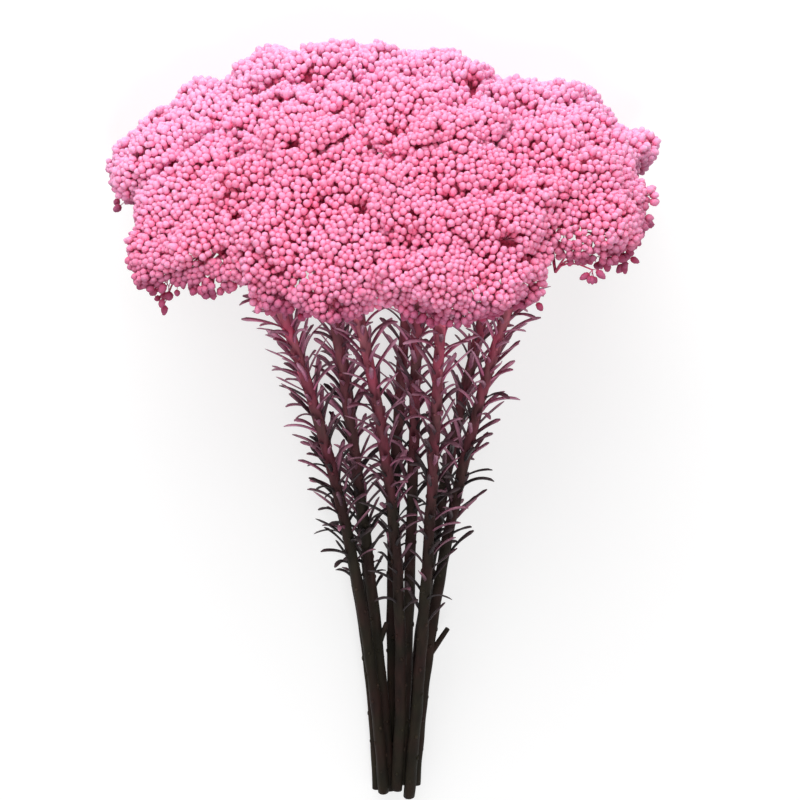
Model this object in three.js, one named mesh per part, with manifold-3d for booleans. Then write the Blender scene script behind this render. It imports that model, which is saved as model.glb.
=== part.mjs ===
// A gathered bunch of dried rice flower, lying on its back.
// Millimetres, +Z up. The stems run along Y with the flower heads at +Y, and the
// origin is on the resting surface under the middle of the bunch.
//
// The pieces are drawn in the bunch's own frame, as if it stood up: x to the right, y up
// along the stems from the level of their feet, z to the front. The whole bunch is then
// tilted and lowered until it lies on two heads at the back and on the stems' feet.

import * as THREE from "three";
import Module from "manifold-3d";

const wasm = await Module();
wasm.setup();

const degrees = THREE.MathUtils.degToRad;
const GOLDEN_ANGLE = Math.PI * (3 - Math.sqrt(5));
const HEAD_SEED = 4117;
const LEAF_SEED = 4217;
const GAP = 0.3;

// How the bunch lies
const TILT = degrees(13);
const LIFT = 9.5;
const ALONG = -184;
const ACROSS = 8.2;

// The crown is the low dome that the tops of the heads lie on
const CROWN_HALF_WIDTH = 136;
const CROWN_HALF_DEPTH = 100;
const CROWN_HEIGHT = 88;
const CROWN_BASE = 296;
const HEAD_UPRIGHTING = 0.3;

// A flower head: a domed layer of buds that curls under at its rim
const DOME_HEIGHT = 26;
const WIDEST_DEPTH = 18.2;
const LIP_RADIUS = 9;
const LIP_END = degrees(140);
const DOME_STEPS = 16;
const LIP_STEPS = 8;
const CREASE_SHALLOWNESS = 0.75;
const WALL_PRESS = 5;
const CORNER_SHARPNESS = 8;
const SHELL_THICKNESS = 14;
const HOLLOW_SHARE = 0.55;
const SKIN_STRETCH = 1.25;
const FLORET_PITCH = 10.5;
const FLORET_RELIEF = 2;
const FLORET_VARIES = [0.6, 1.2];
const CLUSTER_SPACING = 26;
const CLUSTER_SPREAD = 0.9;
const CLUSTER_RADIUS = 16;
const CLUSTER_RELIEF = 6.5;

// The neck and the branchlets under a head: a branchlet leaves the neck at one of three
// heights, bulges outward on its way and ends a little inside the bud layer
const HUB_DEPTH = 44;
const NECK_END_DEPTH = 9.8;
const BRANCHLETS = 5;
const BRANCHLET_RADIUS = 1.1;
const BRANCHLET_ROOTS = [4.4, 11, 17.6];
const BRANCHLET_SPREAD = 0.66;
const BRANCHLET_BULGE = 0.12;
const BRANCHLET_SUNK = 4;
const BRANCHLET_SIDES = 3;

// A stem
const STEM_CUT = -13;
const CUT_VARIES = 2.5;
const STEM_SWEEP = 0.5;
const SHOOT_RADIUS = 1.7;
const SHOOT_END_RADIUS = 1.53;
const SHOOT_LEAN = degrees(24);
const SHOOT_SIDES = 5;
const FOOT_CENTRE = -2;
const FOOT_PITCH = 6.4;
const FOOT_RADIUS = 2.95;
const TOP_RADIUS = 2.6;
const STEM_SIDES = 6;
const STEM_STEPS = 7;

// The leaves: narrow three-sided blades that lean out from the stem and arch as they go.
// They start 0.42 of the way up it and crowd together toward its top.
const LEAVES_PER_STEM = 22;
const LEAF_LENGTH = 21;
const LEAF_LENGTH_VARIES = [0.75, 1.1];
const LEAF_STRETCHES = [0.4, 0.3, 0.3];
const LEAF_WIDTH = 2.4;
const LEAF_FACE_RISE = 0.33;
const LEAF_KEEL_DROP = 0.77;
const LEAF_LEAN = [34, 54];
const LEAF_ARCH = [-8, 26];
const LEAF_FROM = 0.42;
const LEAF_TO = 0.97;
const LEAF_CROWDING = 0.8;
const LEAF_STRAY = 0.6;
const LEAF_ROOT_SHARE = 0.45;
const LEAF_CLEARANCE = 0.5;
const LEAF_TRIES = 9;
const LEAF_TRY_TURN = degrees(40);

// Each stem's head (its place across and toward the front, its reach and how far it stands
// above the crown), its foot in the gathered bundle, counted in foot pitches, its bow, and
// its cut side shoot, if it has one (how far up it is, the side it is on and its length)
const STEMS = [
  { x: -92, z: 44, reach: 52, rise: 0, foot: [-1, 0.87], bow: [5, 0], shoot: [0.4, 210, 9] },
  { x: -38, z: 70, reach: 60, rise: 0, foot: [0, 0.87], bow: [13, 4] },
  { x: 26, z: 75, reach: 60, rise: 0, foot: [1, 0.87], bow: [6, 4] },
  { x: 84, z: 38, reach: 51, rise: 1, foot: [1.5, 0], bow: [-4, 0], shoot: [0.22, 0, 20] },
  { x: -102, z: -28, reach: 52, rise: 8, foot: [-1.5, 0], bow: [10, 0] },
  { x: -52, z: 18, reach: 58, rise: -2, foot: [-0.5, 0], bow: [0, 0], shoot: [0.24, 30, 16] },
  { x: 12, z: 22, reach: 58, rise: -2, foot: [0.5, 0], bow: [2, 0] },
  { x: -50, z: -42, reach: 55, rise: 7, foot: [-1, -0.87], bow: [0, -3] },
  { x: 14, z: -36, reach: 56, rise: 0, foot: [0, -0.87], bow: [-8, -3] },
  { x: 76, z: -38.6, reach: 55, rise: -1, foot: [1, -0.87], bow: [-6, -3], shoot: [0.33, 60, 10] },
];

const BUDS = { color: 0xee8fb4, roughness: 0.75, metalness: 0 };
const BARK = { color: 0x4a353a, roughness: 0.8, metalness: 0 };

const UPRIGHT = new THREE.Vector3(0, 1, 0);
const FORWARD = new THREE.Vector3(0, 0, 1);

// Small helpers

function seededRandom(seed) {
  let state = seed >>> 0;
  return () => {
    state = (state + 0x6d2b79f5) >>> 0;
    let mixed = Math.imul(state ^ (state >>> 15), state | 1);
    mixed ^= mixed + Math.imul(mixed ^ (mixed >>> 7), mixed | 61);
    return ((mixed ^ (mixed >>> 14)) >>> 0) / 4294967296;
  };
}

function between(random, low, high) {
  return low + (high - low) * random();
}

function along(origin, ...steps) {
  const point = origin.clone();
  for (const [direction, distance] of steps) point.addScaledVector(direction, distance);
  return point;
}

function meanOf(points) {
  const mean = new THREE.Vector3();
  for (const point of points) mean.add(point);
  return mean.divideScalar(points.length);
}

// Solids

function solidFrom(points, faces) {
  const volume = faces.reduce((sum, [a, b, c]) => {
    return sum + points[a].dot(new THREE.Vector3().crossVectors(points[b], points[c]));
  }, 0);
  const outward = volume > 0 ? faces : faces.map(([a, b, c]) => [a, c, b]);
  const vertProperties = new Float32Array(points.flatMap((point) => point.toArray()));
  const triVerts = new Uint32Array(outward.flat());
  return new wasm.Manifold(new wasm.Mesh({ numProp: 3, vertProperties, triVerts }));
}

// Closes a stack of rings, each with the same number of points; a last ring of one point
// is a tip
function loft(rings) {
  const faces = [];
  const sides = rings[0].length;
  let start = 0;
  for (const ring of rings.slice(1)) {
    const next = start + sides;
    for (let k = 0; k < sides; k++) {
      const m = (k + 1) % sides;
      if (ring.length === 1) {
        faces.push([start + k, start + m, next]);
      } else {
        faces.push([start + k, start + m, next + m], [start + k, next + m, next + k]);
      }
    }
    start = next;
  }
  const last = rings[rings.length - 1].length;
  for (let k = 1; k + 1 < sides; k++) faces.push([0, k + 1, k]);
  for (let k = 1; k + 1 < last; k++) faces.push([start, start + k, start + k + 1]);
  return solidFrom(rings.flat(), faces);
}

// A ring of points round a centre, square to the direction given
function ringAround(centre, direction, radius, sides) {
  const aside = FORWARD.clone().cross(direction).normalize();
  const ahead = new THREE.Vector3().crossVectors(direction, aside).normalize();
  return Array.from({ length: sides }, (_, k) => {
    const turn = (2 * Math.PI * k) / sides;
    return along(centre, [aside, radius * Math.cos(turn)], [ahead, radius * Math.sin(turn)]);
  });
}

function joined(solids) {
  const whole = wasm.Manifold.union(solids);
  const pieces = whole.decompose();
  return pieces.reduce((best, piece) => (piece.volume() > best.volume() ? piece : best));
}

// The plan of the bunch: where every head sits and how its stem runs

function planStem(row, index) {
  const inside = 1 - (row.x / CROWN_HALF_WIDTH) ** 2 - (row.z / CROWN_HALF_DEPTH) ** 2;
  const y = CROWN_BASE + CROWN_HEIGHT * Math.sqrt(inside);
  const axis = new THREE.Vector3(
    row.x / CROWN_HALF_WIDTH ** 2,
    (y - CROWN_BASE) / CROWN_HEIGHT ** 2,
    row.z / CROWN_HALF_DEPTH ** 2,
  ).normalize();
  axis.lerp(UPRIGHT, HEAD_UPRIGHTING).normalize();
  const top = new THREE.Vector3(row.x, y, row.z).addScaledVector(axis, row.rise);
  const aside = FORWARD.clone().cross(axis).normalize();
  const ahead = new THREE.Vector3().crossVectors(axis, aside);
  const middle = along(top, [axis, -WIDEST_DEPTH]);
  const hub = along(top, [axis, -HUB_DEPTH]);
  const across = FOOT_CENTRE + row.foot[0] * FOOT_PITCH;
  const cut = STEM_CUT + CUT_VARIES * Math.sin(index * GOLDEN_ANGLE);
  const foot = new THREE.Vector3(across, cut, row.foot[1] * FOOT_PITCH);
  const path = stemPath(foot, hub, axis, row.bow);
  const twist = index / 2;
  return { ...row, index, axis, top, aside, ahead, middle, hub, path, twist };
}

// A stem leaves the bundle nearly upright and meets its head nearly square
function stemPath(foot, hub, axis, [right, forward]) {
  const third = hub.distanceTo(foot) / 3;
  const low = along(foot, [UPRIGHT, third]).lerp(foot.clone().lerp(hub, 1 / 3), STEM_SWEEP);
  const high = along(hub, [axis, -third]).lerp(foot.clone().lerp(hub, 2 / 3), STEM_SWEEP);
  const bow = new THREE.Vector3(right, 0, forward);
  return new THREE.CubicBezierCurve3(foot, low.add(bow), high.add(bow), hub);
}

// The plane between two heads, which runs midway between their axes
function wallBetween(head, other) {
  const halfWay = head.middle.clone().lerp(other.middle, 0.5);
  const normal = other.middle.clone().sub(head.middle);
  normal.projectOnPlane(head.axis.clone().add(other.axis).normalize()).normalize();
  return { normal, offset: normal.dot(halfWay) - GAP / 2 };
}

// Neighbouring heads press flat against each other: what would pass the wall stays on it
function pressBack(head, point) {
  for (const wall of head.walls) {
    const beyond = point.dot(wall.normal) - wall.offset;
    if (beyond > 0) point.addScaledVector(wall.normal, -beyond);
  }
}

// The skin of a head

// How far a head reaches from its middle: its own reach, less where a neighbour presses on it
function reachAt(head, turn) {
  const ray = outwardOf(head, turn);
  let sum = head.reach ** -CORNER_SHARPNESS;
  for (const wall of head.walls) {
    const toward = ray.dot(wall.normal);
    const room = wall.offset - head.middle.dot(wall.normal) + WALL_PRESS;
    if (toward > 0) sum += (room / toward) ** -CORNER_SHARPNESS;
  }
  return sum ** (-1 / CORNER_SHARPNESS);
}

// A spot on the dome, at an angle from its axis, and which way it faces: [outward, upward]
function domeSpot(width, turn) {
  const sine = Math.sin(turn);
  const cosine = Math.cos(turn);
  const slope = Math.hypot(DOME_HEIGHT * sine, width * cosine);
  return {
    at: [width * sine, DOME_HEIGHT * (cosine - 1)],
    facing: [(DOME_HEIGHT * sine) / slope, (width * cosine) / slope],
  };
}

// The outline of a head from the middle of its top to the inner edge of its lip: the dome,
// then the lip, which rolls off the dome where it just fills the reach
function outlineOf(reach, width) {
  let edge = 0;
  for (let step = Math.PI / 4; step > 0.001; step /= 2) {
    const spot = domeSpot(width, edge + step);
    if (spot.at[0] + LIP_RADIUS * (1 - spot.facing[0]) < reach) edge += step;
  }
  const spots = [];
  for (let k = 0; k <= DOME_STEPS; k++) spots.push(domeSpot(width, (edge * k) / DOME_STEPS));
  const rim = spots[DOME_STEPS];
  const centre = [
    rim.at[0] - LIP_RADIUS * rim.facing[0],
    rim.at[1] - LIP_RADIUS * rim.facing[1],
  ];
  const from = Math.atan2(rim.facing[0], rim.facing[1]);
  for (let k = 1; k <= LIP_STEPS; k++) {
    const turn = THREE.MathUtils.lerp(from, LIP_END, k / LIP_STEPS);
    const way = [Math.sin(turn), Math.cos(turn)];
    const at = [centre[0] + LIP_RADIUS * way[0], centre[1] + LIP_RADIUS * way[1]];
    spots.push({ at, facing: way });
  }
  return spots;
}

// The spot a share of the way along an outline
function spotAlong(outline, share) {
  const lengths = [0];
  for (let k = 1; k < outline.length; k++) {
    const [a, b] = [outline[k - 1].at, outline[k].at];
    lengths.push(lengths[k - 1] + Math.hypot(b[0] - a[0], b[1] - a[1]));
  }
  const wanted = share * lengths[lengths.length - 1];
  let k = 1;
  while (k < outline.length - 1 && lengths[k] < wanted) k++;
  const part = (wanted - lengths[k - 1]) / (lengths[k] - lengths[k - 1]);
  const mix = (a, b) => [a[0] + (b[0] - a[0]) * part, a[1] + (b[1] - a[1]) * part];
  return {
    at: mix(outline[k - 1].at, outline[k].at),
    facing: mix(outline[k - 1].facing, outline[k].facing),
  };
}

// How wide the dome would be if nothing pressed on it at this turn
function domeWidth(head, reach) {
  return THREE.MathUtils.lerp(reach, head.reach, CREASE_SHALLOWNESS);
}

function outwardOf(head, turn) {
  return new THREE.Vector3()
    .addScaledVector(head.aside, Math.cos(turn))
    .addScaledVector(head.ahead, Math.sin(turn));
}

function skinPoint(head, turn, share) {
  const reach = reachAt(head, turn);
  const spot = spotAlong(outlineOf(reach, domeWidth(head, reach)), share);
  const outward = outwardOf(head, turn);
  const at = along(head.top, [outward, spot.at[0]], [head.axis, spot.at[1]]);
  const facing = new THREE.Vector3()
    .addScaledVector(outward, spot.facing[0])
    .addScaledVector(head.axis, spot.facing[1]);
  return { at, facing };
}

function meanReach(head) {
  const samples = 12;
  let sum = 0;
  for (let k = 0; k < samples; k++) sum += reachAt(head, (2 * Math.PI * k) / samples);
  return sum / samples;
}

// The middles of the clusters that a head is made of, spread like seeds on a sunflower
function clusterCentres(head) {
  const count = Math.round((2 * meanReach(head) / CLUSTER_SPACING) ** 2);
  return Array.from({ length: count }, (_, k) => {
    const share = CLUSTER_SPREAD * Math.sqrt((k + 0.4) / count);
    return skinPoint(head, head.index + k * GOLDEN_ANGLE, share).at;
  });
}

// Clusters swell the top of the head and fade out down its sides
function clusterSwell(head, point, facing) {
  const nearest = Math.min(...head.clusters.map((centre) => centre.distanceTo(point)));
  const topness = Math.sqrt(Math.max(0, facing.dot(head.axis)));
  return CLUSTER_RELIEF * topness * Math.max(0, 1 - (nearest / CLUSTER_RADIUS) ** 2);
}

// As many rings of florets as keep their pitch about the same on large and small heads
function floretRings(head) {
  return Math.round((SKIN_STRETCH * meanReach(head) + LIP_RADIUS) / FLORET_PITCH);
}

// A head's bud layer: a honeycomb of florets on the skin, each a six-sided point whose
// corners are the pits between three florets
function budLayer(head, random) {
  const points = [];
  const facings = [];
  const rings = [];
  const ringCount = floretRings(head);
  for (let ring = 0; ring <= ringCount; ring++) {
    const count = Math.max(1, 6 * ring);
    rings.push(
      Array.from({ length: count }, (_, k) => {
        const turn = (2 * Math.PI * k) / count + head.twist;
        const spot = skinPoint(head, turn, ring / ringCount);
        points.push(spot.at);
        facings.push(spot.facing);
        return points.length - 1;
      }),
    );
  }
  const cells = honeycombCells(rings);
  const rim = new Set(rings[ringCount]);
  const pits = cells.map((cell) => {
    const at = meanOf(cell.map((i) => points[i]));
    const facing = meanOf(cell.map((i) => facings[i])).normalize();
    at.addScaledVector(facing, clusterSwell(head, at, facing) - FLORET_RELIEF);
    points.push(at);
    return points.length - 1;
  });
  for (let i = 0; i < facings.length; i++) {
    if (rim.has(i)) continue;
    const relief = FLORET_RELIEF * between(random, ...FLORET_VARIES);
    points[i].addScaledVector(facings[i], clusterSwell(head, points[i], facings[i]) + relief);
  }
  const faces = floretFaces(cells, pits);
  closeUnderneath(head, points, faces, rings[ringCount]);
  for (const point of points) pressBack(head, point);
  return solidFrom(points, faces);
}

// The triangles between neighbouring florets, ring by ring
function honeycombCells(rings) {
  const cells = [];
  for (let ring = 0; ring + 1 < rings.length; ring++) {
    const inner = rings[ring];
    const outer = rings[ring + 1];
    for (let sector = 0; sector < 6; sector++) {
      for (let k = 0; k <= ring; k++) {
        const near = inner[(sector * ring + k) % inner.length];
        const far = sector * (ring + 1) + k;
        cells.push([near, outer[far], outer[(far + 1) % outer.length]]);
        if (k < ring) {
          cells.push([near, outer[far + 1], inner[(sector * ring + k + 1) % inner.length]]);
        }
      }
    }
  }
  return cells;
}

// Two faces across every edge that two cells share, and one along the rim
function floretFaces(cells, pits) {
  const faces = [];
  const open = new Map();
  cells.forEach((cell, c) => {
    for (let k = 0; k < 3; k++) {
      const from = cell[k];
      const to = cell[(k + 1) % 3];
      const twin = `${to}-${from}`;
      if (open.has(twin)) {
        faces.push([from, pits[open.get(twin)], pits[c]], [to, pits[c], pits[open.get(twin)]]);
        open.delete(twin);
      } else {
        open.set(`${from}-${to}`, c);
      }
    }
  });
  for (const [edge, c] of open) {
    const [from, to] = edge.split("-").map(Number);
    faces.push([from, to, pits[c]]);
  }
  return faces;
}

// The plain hollow underside of a head, from its rim in to the middle
function closeUnderneath(head, points, faces, rim) {
  const count = rim.length / 3;
  const first = points.length;
  for (let k = 0; k < count; k++) {
    const turn = (2 * Math.PI * k) / count + head.twist;
    points.push(underside(head, turn, HOLLOW_SHARE));
  }
  const centre = points.push(underside(head, 0, 0)) - 1;
  for (let k = 0; k < count; k++) {
    const here = first + k;
    const next = first + ((k + 1) % count);
    for (let j = 0; j < 3; j++) {
      faces.push([rim[(3 * k + j + 1) % rim.length], rim[3 * k + j], here]);
    }
    faces.push([rim[(3 * k + 3) % rim.length], here, next]);
    faces.push([next, here, centre]);
  }
}

// A point under the bud layer, or sunk a little into it
function underside(head, turn, share, sunk = 0) {
  const reach = reachAt(head, turn);
  const slope = (share * reach) / domeWidth(head, reach);
  const drop = DOME_HEIGHT * (Math.sqrt(1 - slope ** 2) - 1) - SHELL_THICKNESS + sunk;
  return along(head.top, [outwardOf(head, turn), share * reach], [head.axis, drop]);
}

// The branchlets that carry a head, as the lines that they follow from the neck
function branchletLines(head) {
  return Array.from({ length: BRANCHLETS }, (_, k) => {
    const turn = (2 * Math.PI * k) / BRANCHLETS + head.index;
    const start = along(head.hub, [head.axis, BRANCHLET_ROOTS[k % BRANCHLET_ROOTS.length]]);
    const end = underside(head, turn, BRANCHLET_SPREAD, BRANCHLET_SUNK);
    const outward = end.clone().sub(start).projectOnPlane(head.axis);
    const bend = start.clone().lerp(end, 0.5).addScaledVector(outward, BRANCHLET_BULGE);
    return [start, bend, end];
  });
}

function branchletSolid(line) {
  const curve = new THREE.CatmullRomCurve3(line);
  return loft(
    line.map((point, i) => {
      const direction = curve.getTangent(i / (line.length - 1));
      return ringAround(point, direction, BRANCHLET_RADIUS, BRANCHLET_SIDES);
    }),
  );
}

function headSolid(head) {
  const random = seededRandom(HEAD_SEED + head.index);
  const neckEnd = along(head.top, [head.axis, -NECK_END_DEPTH]);
  const neck = loft([
    ringAround(head.hub, head.axis, TOP_RADIUS, STEM_SIDES),
    ringAround(neckEnd, head.axis, BRANCHLET_RADIUS, STEM_SIDES),
  ]);
  const branchlets = head.branchlets.map((line) => branchletSolid(line));
  return joined([budLayer(head, random), neck, ...branchlets]);
}

// The leaves of a stem

// A place on a stem, its direction there, and the way out of it at a turn from its right
function besideStem(stem, share, turn) {
  const at = stem.path.getPointAt(share);
  const axis = stem.path.getTangentAt(share);
  const aside = new THREE.Vector3().crossVectors(axis, FORWARD).normalize();
  const ahead = new THREE.Vector3().crossVectors(aside, axis);
  const outward = new THREE.Vector3()
    .addScaledVector(aside, Math.cos(turn))
    .addScaledVector(ahead, Math.sin(turn));
  return { at, axis, outward };
}

// The middle line of a leaf, from inside the stem to its tip
function leafLine(stem, share, turn, { length, lean, arch }) {
  const { at, axis, outward } = besideStem(stem, share, turn);
  const points = [along(at, [outward, LEAF_ROOT_SHARE * stemRadius(share)])];
  LEAF_STRETCHES.forEach((stretch, k) => {
    const angle = lean + k * arch;
    const rise = stretch * length * Math.cos(angle);
    const run = stretch * length * Math.sin(angle);
    points.push(along(points[k], [axis, rise], [outward, run]));
  });
  const across = new THREE.Vector3().crossVectors(axis, outward);
  return { points, across };
}

// A leaf is flat above and keeled below; its first stretch is a plain prism
function leafSolid({ points, across }) {
  const section = (middle, ahead) => {
    const above = new THREE.Vector3().crossVectors(ahead, across).normalize();
    return [
      along(middle, [across, -LEAF_WIDTH / 2], [above, LEAF_FACE_RISE]),
      along(middle, [across, LEAF_WIDTH / 2], [above, LEAF_FACE_RISE]),
      along(middle, [above, -LEAF_KEEL_DROP]),
    ];
  };
  const [root, bend, shoulder, tip] = points;
  const first = bend.clone().sub(root);
  const second = tip.clone().sub(bend);
  const sections = [section(root, first), section(bend, first), section(shoulder, second)];
  return loft([...sections, [tip]]);
}

function isClear(points, obstacles) {
  const nearest = new THREE.Vector3();
  const room = LEAF_WIDTH / 2 + LEAF_CLEARANCE;
  for (let k = 0; k + 1 < points.length; k++) {
    for (const share of [1 / 3, 2 / 3, 1]) {
      const sample = points[k].clone().lerp(points[k + 1], share);
      for (const { line, radius } of obstacles) {
        line.closestPointToPoint(sample, true, nearest);
        if (nearest.distanceTo(sample) < radius + room) return false;
      }
    }
  }
  return true;
}

// Leaves climb the stem by the golden angle; one that would meet a neighbour is turned
// round the stem until it is clear, or is left off
function leafLines(stem, obstacles) {
  const random = seededRandom(LEAF_SEED + stem.index);
  const others = obstacles.filter((obstacle) => obstacle.owner !== stem.index);
  const leaves = [];
  for (let k = 0; k < LEAVES_PER_STEM; k++) {
    const order = (k + LEAF_STRAY * random()) / LEAVES_PER_STEM;
    const share = LEAF_FROM + (LEAF_TO - LEAF_FROM) * order ** LEAF_CROWDING;
    const habit = {
      length: LEAF_LENGTH * between(random, ...LEAF_LENGTH_VARIES),
      lean: degrees(between(random, ...LEAF_LEAN)),
      arch: degrees(between(random, ...LEAF_ARCH)),
    };
    const tries = Array.from({ length: LEAF_TRIES }, (_, attempt) => {
      return leafLine(stem, share, k * GOLDEN_ANGLE + LEAF_TRY_TURN * attempt, habit);
    });
    const leaf = tries.find(({ points }) => isClear(points.slice(1), others));
    if (!leaf) continue;
    leaves.push(leaf);
    addLine(obstacles, leaf.points, LEAF_WIDTH / 2, stem.index);
  }
  return leaves;
}

// Adds a rod to what leaves keep clear of, apart from the leaves of the stem that owns it
function addLine(obstacles, points, radius, owner) {
  for (let k = 0; k + 1 < points.length; k++) {
    obstacles.push({ line: new THREE.Line3(points[k], points[k + 1]), radius, owner });
  }
}

function stemRadius(share) {
  return THREE.MathUtils.lerp(FOOT_RADIUS, TOP_RADIUS, share);
}

// The stem ends square to its head's neck, a gap below it
function stemSolid(stem, leaves) {
  const rings = Array.from({ length: STEM_STEPS }, (_, k) => {
    const share = k / STEM_STEPS;
    const direction = stem.path.getTangentAt(share);
    return ringAround(stem.path.getPointAt(share), direction, stemRadius(share), STEM_SIDES);
  });
  const end = along(stem.hub, [stem.axis, -GAP]);
  rings.push(ringAround(end, stem.axis, TOP_RADIUS, STEM_SIDES));
  const shoots = stem.shoot ? [shootSolid(stem)] : [];
  return joined([loft(rings), ...shoots, ...leaves.map(leafSolid)]);
}

// A side shoot that was cut off short
function shootLine(stem) {
  const [share, side, length] = stem.shoot;
  const { at, axis, outward } = besideStem(stem, share, degrees(side));
  const slant = axis.clone().multiplyScalar(Math.cos(SHOOT_LEAN));
  slant.addScaledVector(outward, Math.sin(SHOOT_LEAN));
  return [at, along(at, [slant, length])];
}

function shootSolid(stem) {
  const [root, end] = shootLine(stem);
  const slant = end.clone().sub(root).normalize();
  return loft([
    ringAround(root, slant, SHOOT_RADIUS, SHOOT_SIDES),
    ringAround(end, slant, SHOOT_END_RADIUS, SHOOT_SIDES),
  ]);
}

// Putting the bunch together

// Flattens a piece where it rests: the surface's up direction, seen from the standing bunch
function restingOn(solid) {
  return solid.trimByPlane([0, Math.sin(TILT), Math.cos(TILT)], -LIFT);
}

function meshOf(name, solid, finish) {
  const { vertProperties, triVerts } = solid.getMesh();
  const geometry = new THREE.BufferGeometry();
  geometry.setAttribute("position", new THREE.BufferAttribute(vertProperties, 3));
  geometry.setIndex(new THREE.BufferAttribute(triVerts, 1));
  geometry.computeVertexNormals();
  const mesh = new THREE.Mesh(geometry, new THREE.MeshStandardMaterial(finish));
  mesh.name = name;
  return mesh;
}

function buildBunch() {
  const bunch = new THREE.Group();
  const stems = STEMS.map(planStem);
  const obstacles = [];
  for (const stem of stems) {
    stem.walls = stems.filter((other) => other !== stem).map((other) => wallBetween(stem, other));
    stem.clusters = clusterCentres(stem);
    stem.branchlets = branchletLines(stem);
    addLine(obstacles, stem.path.getSpacedPoints(STEM_STEPS), FOOT_RADIUS, stem.index);
    for (const line of stem.branchlets) addLine(obstacles, line, BRANCHLET_RADIUS, null);
    if (stem.shoot) addLine(obstacles, shootLine(stem), SHOOT_RADIUS, stem.index);
  }
  for (const stem of stems) {
    const number = String(stem.index + 1).padStart(2, "0");
    const leaves = leafLines(stem, obstacles);
    bunch.add(meshOf(`stem_${number}`, restingOn(stemSolid(stem, leaves)), BARK));
    bunch.add(meshOf(`head_${number}`, restingOn(headSolid(stem)), BUDS));
  }
  bunch.rotation.x = TILT;
  bunch.position.set(ACROSS, ALONG, LIFT);
  return bunch;
}

const group = new THREE.Group();
group.add(buildBunch());

export default group;
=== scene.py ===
# A gathered bunch of dried rice flower, laid on its back: ten leafy stems, each with a
# dense head of small round buds on fine stalks.
#
# The plan is the model's own: lengths in millimetres in the bunch's own frame, as if it
# stood up, with x to the right, y up along the stems and z to the front. to_row() turns
# that into metres in the row frame, and everything that is made passes through it.

from math import cos, pi, radians, sin, sqrt
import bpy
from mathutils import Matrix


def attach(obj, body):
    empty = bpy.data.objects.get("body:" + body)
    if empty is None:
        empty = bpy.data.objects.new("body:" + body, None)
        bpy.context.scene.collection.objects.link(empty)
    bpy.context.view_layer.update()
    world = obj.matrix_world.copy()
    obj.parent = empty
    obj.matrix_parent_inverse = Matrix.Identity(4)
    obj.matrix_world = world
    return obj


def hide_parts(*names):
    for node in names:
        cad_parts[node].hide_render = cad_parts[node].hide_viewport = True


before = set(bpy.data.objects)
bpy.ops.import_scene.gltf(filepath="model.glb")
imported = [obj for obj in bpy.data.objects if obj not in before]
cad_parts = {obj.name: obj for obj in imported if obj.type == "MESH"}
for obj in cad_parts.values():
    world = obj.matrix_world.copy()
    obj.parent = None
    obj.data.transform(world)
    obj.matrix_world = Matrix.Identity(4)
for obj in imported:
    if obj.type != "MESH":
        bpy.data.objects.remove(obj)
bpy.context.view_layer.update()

from types import SimpleNamespace

import bpy
import numpy as np
from mathutils import Matrix, Vector
from mathutils.kdtree import KDTree
from numpy.linalg import norm

MM = 0.001
TINY = 1e-12
GOLDEN_ANGLE = pi * (3 - sqrt(5))
ASIDE, UPRIGHT, FORWARD = np.eye(3)
NEAR_FORWARD = 0.8

# How the bunch lies
TILT = radians(13)
LIFT = 9.5
ALONG = -184
ACROSS = 8.2

# The crown is the low dome that the tops of the heads lie on
CROWN_HALF_WIDTH = 136
CROWN_HALF_DEPTH = 100
CROWN_HEIGHT = 88
CROWN_BASE = 296
HEAD_UPRIGHTING = 0.3

# The skin of a head: a dome that curls under at its rim, swollen into clusters
DOME_HEIGHT = 26
WIDEST_DEPTH = 18.2
LIP_RADIUS = 9
LIP_END = radians(140)
DOME_STEPS = 16
LIP_STEPS = 8
EDGE_STEP = pi / 4
EDGE_PRECISION = 0.001
CREASE_SHALLOWNESS = 0.75
WALL_PRESS = 5
WALL_GAP = 0.3
CORNER_SHARPNESS = 8
CLUSTER_SEED = 12
CLUSTER_SPACING = 26
CLUSTER_START = 0.4
CLUSTER_SPREAD = 0.9
CLUSTER_RADIUS = 18
CLUSTER_RELIEF = (2, 11.5)
REACH_SAMPLES = 12
GRID_TURNS = 96
GRID_SHARES = 40

# A slow warp of the whole crown makes the heads uneven and the seams between them wavy.
# Along a seam the crown is level in some places and sinks to a valley in others.
WARP = 2.4
WARP_LENGTHS = (10, 6.5)
WARP_SHEAR = 0.7
SEAM_RANGE = 17
SEAM_FILL = (-8, 3.5)
SEAM_CROSSING = 2.2
SEAM_WAVES = (13, 17)
SEAM_PHASES = (1.3, 0.4)
SEAM_SWING = 0.3
SEAM_ON_TOP = (0.3, 1.4)
SEAM_OVERLAP = 0.8

# Umbels, the small domed groups of buds that the clusters are made of
UMBEL_SPACING = 11.5
UMBEL_AREA = 112
UMBEL_RELIEF = 1.7
UMBEL_EDGE = 0.62
UMBEL_LIFT = 0.6
RIM_LIFT = 2.8
UMBEL_PULL = 0.09

# Pits in the dense buds, in each of which an umbel stands deeper and shows its stalks
PITS = 3
PIT_TRIES = 40
PIT_RADIUS = (3.2, 5.4)
PIT_DEPTH = 6.5
PIT_UPNESS = 0.4
PIT_NARROWING = 0.35

# Loose little umbels that hang at the rim
HANGING_UMBELS = 19
HANGING_SHARE = (0.72, 1.02)
HANGING_DROP = (26, 36.5)
HANGING_BUDS = (3, 8)
HANGING_RADIUS = 5.2
HANGING_STRETCH = 1.22
HANGING_OUTNESS = 0.6
HANGING_FACING = (0.5, 0.8)
HANGING_DROOP = 0.3

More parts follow.
